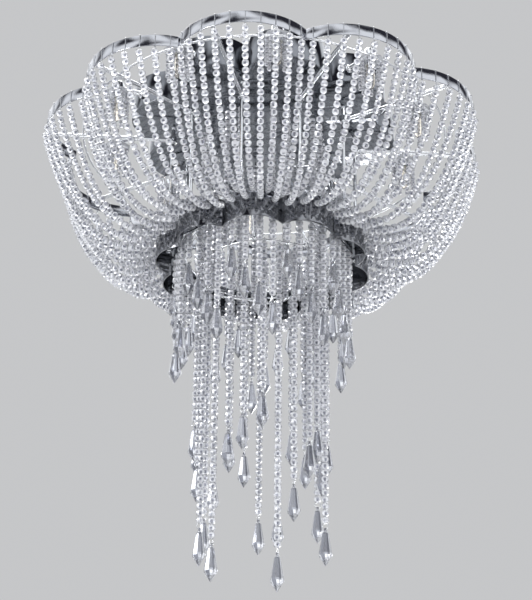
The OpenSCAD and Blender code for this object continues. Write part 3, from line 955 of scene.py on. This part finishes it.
def makeWireRing(armZ):
    w = wireRing
    low, high = boxMm("frame_ring")
    radius = (high.x - low.x) / 2 - w["wire"]
    points = circlePoints(radius, w["steps"], "XY", (low.z + high.z) / 2)
    ring = wireAlong("frameRing", points, w["wire"], True, w["sides"])
    smoothBy(ring, w["smoothDeg"])
    settle(ring, "frame", chrome, "polished_chrome", "frame_ring")
    weld = turned("weldBead", w["weldSides"], w["weld"])
    smoothBy(weld, w["weldSmoothDeg"])
    places = placesAround({**rod, "r": radius}, armZ + arm["tube"])
    settle(copiesOf("weldBeads", weld, places), "frame", steel, "polished_chrome", "frame_ring")
    discard(weld)


armLow, armHigh = boxMm("frame_arms")
armsZ = (armLow.z + armHigh.z) / 2
makeArms(armsZ)
makeWireRing(armsZ)
print("arms and wire ring made")


# hooks: bent wire over the band's edge, with a crimp above the first bead
# bends run from the upright to the top, as (inwards, below the top)
hook = {
    "perLobe": 10, "wire": 0.5, "out": 0.75, "grip": 6, "topGap": 0.05,
    "bends": [(0, 0.8), (0.25, 0.22), (0.8, 0)],
    "crimp": [(0, 0.7), (0.4, 1.25), (2.4, 1.25), (2.8, 0.7)], "crimpLength": 2.8, "crimpSides": 8,
    "crimpUnderBand": 0.6,
}


def makeOuterHooks():
    centre, r, opening = lobeArc(outerLobes)
    low, high = boxMm("outer_hooks")
    low, high = low.z, high.z - hook["wire"] - hook["topGap"]
    front, back = -r - hook["out"], -r + outerLobes["thick"] + hook["out"]
    path = [(0, front, low)] + [(0, front + inwards, high - down) for inwards, down in hook["bends"]]
    path += [(0, back - inwards, high - down) for inwards, down in reversed(hook["bends"])]
    path.append((0, back, high - hook["grip"]))
    bent = wireAlong("bentHook", path, hook["wire"], sides=1)
    foot = boxMm("outer_band")[0].z - hook["crimpUnderBand"] - hook["crimpLength"]
    crimp = turned("crimp", hook["crimpSides"], ringsFrom(foot, hook["crimp"]))
    crimp.location.y = front * mm
    applyPlace(crimp)
    pattern = joined("hookPattern", [bent, crimp])
    places = []
    for k in range(outerLobes["count"]):
        lobe = placeAt(centre, 360 * k / outerLobes["count"])
        for i in range(hook["perLobe"]):
            a = ((i + 0.5) / hook["perLobe"] * 2 - 1) * opening
            places.append(lobe @ Matrix.Rotation(a, 4, "Z"))
    settle(copiesOf("outerHooks", pattern, places), "frame", steel, "polished_chrome", "outer_hooks")
    discard(pattern)


# pins that stick out of the inner band, one for each strand's last bead
innerPin = {"sides": 8, "sunk": 0.5, "rings": [(-0.6, 0.5), (0.1, 1.1), (0.6, 1.1), (0.9, 0.5), (1.7, 0.5)]}


def makeInnerHooks():
    pin = pointOutwards(turned("pin", innerPin["sides"], innerPin["rings"]))
    places = []
    for solid in solidsOf("inner_hooks"):
        r = np.hypot(solid[:, 0], solid[:, 1]).min() - innerPin["sunk"]
        middle = (solid.min(axis=0) + solid.max(axis=0)) / 2
        a = math.degrees(math.atan2(middle[0], -middle[1]))
        places.append(placeAt(r, a, middle[2]))
    settle(copiesOf("innerHooks", pin, places), "frame", steel, "polished_chrome", "inner_hooks")
    discard(pin)


makeOuterHooks()
makeInnerHooks()
print("hooks made")


# upper strings: beads on a wire from the canopy floor down to the long ring
upperString = {"wire": 0.35, "crimpSides": 8, "crimp": [(-2.6, 0.6), (-2.2, 1.3), (-0.4, 1.3), (0, 0.9)]}


def makeUpperStrings():
    spots, metalwork = [], []
    for solid in solidsOf("upper_strings"):
        low, high = solid.min(axis=0), solid.max(axis=0)
        x, y = (low[0] + high[0]) / 2, (low[1] + high[1]) / 2
        count = int((high[2] - low[2]) / bead["length"])
        for i in range(count):
            spots.append(((x, y, low[2] + (i + 0.5) * bead["length"]), (0, 0, 1)))
        ends = [(x, y, high[2]), (x, y, low[2])]
        metalwork.append(wireAlong("stringWire", ends, upperString["wire"], sides=0))
        rings = ringsFrom(high[2], upperString["crimp"])
        crimp = turned("stringCrimp", upperString["crimpSides"], rings)
        crimp.location = (x * mm, y * mm, 0)
        applyPlace(crimp)
        metalwork.append(crimp)
    beads = copiesOf("upperBeads", beadPattern, beadPlaces(spots))
    settle(beads, "frame", crystal, "crystal", "upper_strings")
    settle(joined("upperWires", metalwork), "frame", steel, "polished_chrome", "upper_strings")


makeUpperStrings()
print("upper strings made")


# lamps: arm with a rosette, cup, glass capsule with its filament, cut dish and a fringe of small beads
lampPlaces = placesAround({"r": 215, "turnDeg": 11, "count": 10})
lampArm = {
    "sides": 20, "smoothDeg": 30,
    "atWall": [(0, 6.0), (0.4, 6.5), (1.4, 6.5), (2.0, 5.3), (3.2, 4.4), (5.5, 3.5)],
    "atCup": [(-5, 3.5), (-4.4, 4.3), (-2.2, 4.3), (-1.6, 3.8), (0, 3.8)],
}


def makeLampArms():
    low, high = boxMm("lamp_arms")
    pieces = []
    for solid in solidsOf("lamp_arms"):
        middle = (solid.min(axis=0) + solid.max(axis=0)) / 2
        way = Vector((middle[0], middle[1], 0)).normalized()
        reach = solid[:, 0] * way.x + solid[:, 1] * way.y
        rings = ringsFrom(reach.min(), lampArm["atWall"]) + ringsFrom(reach.max(), lampArm["atCup"])
        piece = pointOutwards(turned("lampArm", lampArm["sides"], rings))
        piece.rotation_euler = (0, 0, math.atan2(way.x, -way.y))
        piece.location.z = (low.z + high.z) / 2 * mm
        applyPlace(piece)
        pieces.append(piece)
    arms = joined("lampArms", pieces)
    smoothBy(arms, lampArm["smoothDeg"])
    settle(arms, "frame", chrome, "polished_chrome", "lamp_arms")


socket = {
    "sides": 24, "smoothDeg": 30,
    "fromBase": [(0, 7.2), (0, 7.9), (0.5, 8.5), (2.0, 8.5), (2.4, 8.0), (3.0, 8.0), (3.4, 8.5)],
    "fromTop": [(-4.0, 8.5), (-1.4, 7.1), (0, 4.5)],
    "core": [(-0.9, 5.6), (-0.9, 6.3), (-0.4, 6.9), (0, 6.9)], "coreSides": 20, "coreEdge": 0.2,
}


def makeSockets():
    low, high = boxMm("lamp_sockets")
    rings = ringsFrom(low.z, socket["fromBase"]) + ringsFrom(high.z, socket["fromTop"])
    cup = turned("socketCup", socket["sides"], rings)
    smoothBy(cup, socket["smoothDeg"])
    settle(copiesOf("lampSockets", cup, lampPlaces), "frame", chrome, "polished_chrome", "lamp_sockets")
    core = turned("core", socket["coreSides"], ringsFrom(low.z, socket["core"]))
    bevelled(core, socket["coreEdge"])
    settle(copiesOf("lampCores", core, lampPlaces), "frame", plastic, "terminal_plastic", "lamp_sockets")
    discard(cup, core)


bulb = {
    "sides": 20, "smoothDeg": 50, "wall": 0.8, "topGap": 1.0,
    "fromTop": [(0, 5.3), (-4.5, 5.3), (-6.5, 6.5)],
    "fromTip": [(10, 6.5), (5.5, 5.59), (2.6, 3.575), (1.4, 1.3), (0, 0.65)],
    "pinch": [(-5.5, 2.2), (-5.0, 3.2), (-0.8, 3.2), (-0.5, 2.6)], "pinchSides": 8,
    "coilBelowTop": 9, "coilRadius": 0.9, "coilStep": 0.12, "coilPoints": 90, "coilWire": 0.16,
    "coilLength": 11, "support": 1.6, "supportBelowTop": 1, "supportWire": 0.22,
}


def makeCapsules(top, tip):
    rings = ringsFrom(top, bulb["fromTop"]) + ringsFrom(tip, bulb["fromTip"])
    capsule = turned("capsule", bulb["sides"], rings)
    wall = capsule.modifiers.new("wall", "SOLIDIFY")
    wall.thickness = bulb["wall"] * mm
    wall.offset = -1
    applyModifiers(capsule)
    smoothBy(capsule, bulb["smoothDeg"])
    settle(copiesOf("bulbs", capsule, lampPlaces), "frame", bulbGlass, "bulb_glass", "bulbs")
    discard(capsule)


def makeFilaments(top):
    r, out, z = bulb["coilRadius"], bulb["support"], top - bulb["coilBelowTop"]
    coil = [(r * math.cos(i), r * math.sin(i), z - bulb["coilStep"] * i) for i in range(bulb["coilPoints"])]
    pieces = [wireAlong("coil", coil, bulb["coilWire"], sides=0)]
    for side, end in ((-1, z), (1, z - bulb["coilLength"])):
        path = [(side * out, 0, top - bulb["supportBelowTop"]), (side * out, 0, end), (side * r, 0, end)]
        pieces.append(wireAlong("support", path, bulb["supportWire"], sides=0))
    pinch = turned("pinch", bulb["pinchSides"], ringsFrom(top, bulb["pinch"]))
    wires = joined("filamentPattern", pieces)
    settle(copiesOf("filaments", wires, lampPlaces), "frame", filament, "plated_steel", "bulbs")
    settle(copiesOf("bulbPinches", pinch, lampPlaces), "frame", plastic, "terminal_plastic", "bulbs")
    discard(wires, pinch)


# dish: a turned ring whose rim is drawn in at every second corner
dishLook = {
    "sides": 16, "inner": 8.65, "outer": 20, "rim": (1.6, 2.8), "flat": 3, "slope": 4,
    "cut": 0.92, "cutFrom": 15,
}


def makeDishes():
    d = dishLook
    low, high = boxMm("crystal_dishes")
    rings = [(low.z, d["inner"]), (low.z, d["outer"] - d["flat"])]
    rings += [(low.z + z, d["outer"]) for z in d["rim"]]
    rings += [(high.z, d["outer"] - d["slope"]), (high.z, d["inner"]), (low.z, d["inner"])]
    dish = turned("cutDish", d["sides"], rings, closeEnds=False)
    bpy.ops.object.mode_set(mode="EDIT")
    bpy.ops.mesh.select_mode(type="VERT")
    bpy.ops.mesh.select_all(action="SELECT")
    bpy.ops.mesh.remove_doubles(threshold=weldDistance)
    bpy.ops.mesh.select_all(action="DESELECT")
    bpy.ops.object.mode_set(mode="OBJECT")
    for corner in dish.data.vertices:
        step = round(math.atan2(corner.co.y, corner.co.x) * d["sides"] / (2 * math.pi))
        corner.select = step % 2 == 1 and math.hypot(corner.co.x, corner.co.y) > d["cutFrom"] * mm
    bpy.ops.object.mode_set(mode="EDIT")
    bpy.ops.transform.resize(value=(d["cut"], d["cut"], 1), center_override=(0, 0, 0))
    bpy.ops.mesh.select_all(action="SELECT")
    bpy.ops.mesh.normals_make_consistent(inside=False)
    bpy.ops.object.mode_set(mode="OBJECT")
    settle(copiesOf("crystalDishes", dish, lampPlaces), "frame", crystal, "crystal", "crystal_dishes")
    discard(dish)


fringe = {"r": 13.9, "strings": 8, "beads": 7, "wire": 0.25, "wireUp": 1}


def makeFringes():
    low, high = boxMm("lamp_fringes")
    wireTop, wireLow = high.z + fringe["wireUp"], low.z + fringe["wireUp"]
    for k, lampPlace in enumerate(lampPlaces):
        places, strings = [], []
        for j in range(fringe["strings"]):
            spot = lampPlace @ placeAt(fringe["r"], 360 * j / fringe["strings"])
            x, y, _ = spot.to_translation() / mm
            ends = [(x, y, wireTop), (x, y, wireLow)]
            strings.append(wireAlong("fringeWire", ends, fringe["wire"], sides=0))
            for i in range(fringe["beads"]):
                places.append(placeOf(x, y, high.z - (i + 0.5) * bead["smallLength"]) @ beadSpin())
        beads = copiesOf(f"lampFringe{k + 1}", smallBeadPattern, places)
        settle(beads, "frame", crystal, "crystal", "lamp_fringes")
        settle(joined(f"fringeWires{k + 1}", strings), "frame", steel, "polished_chrome", "lamp_fringes")


bulbLow, bulbHigh = boxMm("bulbs")
bulbTop = bulbHigh.z - bulb["topGap"]
makeLampArms()
makeSockets()
makeCapsules(bulbTop, bulbLow.z)
makeFilaments(bulbTop)
makeDishes()
makeFringes()
discard(beadPattern, smallBeadPattern, dropPattern)
print("lamps made")


# the rings and struts keep their CAD shape and get a material
for node in ("short_ring", "long_ring", "ring_struts"):
    piece = frame["nodes"][node]
    piece.data.materials.clear()
    piece.data.materials.append(chrome)


# studio: a pale floor far below, a pale surround and soft lamps
studio = {
    "floorZ": -3.4, "floorSize": 60, "floorColor": (0.80, 0.80, 0.79), "floorRough": 0.8,
    "backColor": (0.97, 0.98, 1.0), "back": 0.58, "ambientColor": (0.95, 0.97, 1.0), "ambient": 0.85,
    "fieldScale": 2.0, "fieldDetail": 1, "fieldStrength": 1.35, "aim": (0, 0, -0.25),
    "fieldTones": [(0.39, (0.03, 0.03, 0.04)), (0.58, (0.95, 0.97, 1.0))],
}
studioLamps = [
    {"name": "softLeft", "place": (-1.9, -1.9, -0.3), "size": 0.9, "power": 36},
    {"name": "softRight", "place": (2.2, -1.4, -0.9), "size": 0.7, "power": 26},
    {"name": "below", "place": (0.2, -0.6, -2.6), "size": 2.6, "power": 26},
    {"name": "behind", "place": (0.5, 2.2, -0.4), "size": 1.0, "power": 30},
    {"name": "above", "place": (-0.3, 0.4, 1.6), "size": 1.4, "power": 30},
]


# the floor is see-through from below, so that the light can be seen from there too
def makeFloor():
    deselectAll()
    bpy.ops.mesh.primitive_plane_add(size=studio["floorSize"], location=(0, 0, studio["floorZ"]))
    floor = bpy.context.object
    floor.name = "floor"
    material, tree, shader = startMaterial("paleFloor", studio["floorColor"])
    shader.inputs["Roughness"].default_value = studio["floorRough"]
    side = tree.nodes.new("ShaderNodeNewGeometry")
    clear = tree.nodes.new("ShaderNodeBsdfTransparent")
    mix = tree.nodes.new("ShaderNodeMixShader")
    tree.links.new(side.outputs["Backfacing"], mix.inputs[0])
    tree.links.new(shader.outputs[0], mix.inputs[1])
    tree.links.new(clear.outputs[0], mix.inputs[2])
    tree.links.new(mix.outputs[0], tree.nodes["Material Output"].inputs["Surface"])
    floor.data.materials.append(material)


# the surround: plain and pale for the camera, with soft dark and bright fields for metal and glass
def makeWorld():
    world = bpy.data.worlds.new("studio")
    scene.world = world
    world.use_nodes = True
    nodes, links = world.node_tree.nodes, world.node_tree.links
    light = nodes["Background"]
    light.inputs["Color"].default_value = (*studio["ambientColor"], 1)
    light.inputs["Strength"].default_value = studio["ambient"]
    back = nodes.new("ShaderNodeBackground")
    back.inputs["Color"].default_value = (*studio["backColor"], 1)
    back.inputs["Strength"].default_value = studio["back"]
    fields = nodes.new("ShaderNodeBackground")
    direction = nodes.new("ShaderNodeTexCoord")
    patches = nodes.new("ShaderNodeTexNoise")
    patches.inputs["Scale"].default_value = studio["fieldScale"]
    patches.inputs["Detail"].default_value = studio["fieldDetail"]
    ramp = nodes.new("ShaderNodeValToRGB")
    for stop, (position, color) in zip(ramp.color_ramp.elements, studio["fieldTones"]):
        stop.position = position
        stop.color = (*color, 1)
    links.new(direction.outputs["Generated"], patches.inputs["Vector"])
    links.new(patches.outputs[0], ramp.inputs[0])
    links.new(ramp.outputs[0], fields.inputs["Color"])
    fields.inputs["Strength"].default_value = studio["fieldStrength"]
    path = nodes.new("ShaderNodeLightPath")
    shiny = nodes.new("ShaderNodeMath")
    shiny.operation = "MAXIMUM"
    links.new(path.outputs["Is Glossy Ray"], shiny.inputs[0])
    links.new(path.outputs["Is Transmission Ray"], shiny.inputs[1])
    forShiny = nodes.new("ShaderNodeMixShader")
    links.new(shiny.outputs[0], forShiny.inputs[0])
    links.new(light.outputs[0], forShiny.inputs[1])
    links.new(fields.outputs[0], forShiny.inputs[2])
    forCamera = nodes.new("ShaderNodeMixShader")
    links.new(path.outputs["Is Camera Ray"], forCamera.inputs[0])
    links.new(forShiny.outputs[0], forCamera.inputs[1])
    links.new(back.outputs[0], forCamera.inputs[2])
    links.new(forCamera.outputs[0], nodes["World Output"].inputs[0])


def makeLamps():
    for softbox in studioLamps:
        deselectAll()
        bpy.ops.object.light_add(type="AREA", location=softbox["place"])
        light = bpy.context.object
        light.name = softbox["name"]
        light.data.size = softbox["size"]
        light.data.energy = softbox["power"]
        aim = Vector(studio["aim"]) - Vector(softbox["place"])
        light.rotation_euler = aim.to_track_quat("-Z", "Y").to_euler()


makeFloor()
makeWorld()
makeLamps()
print("studio made")
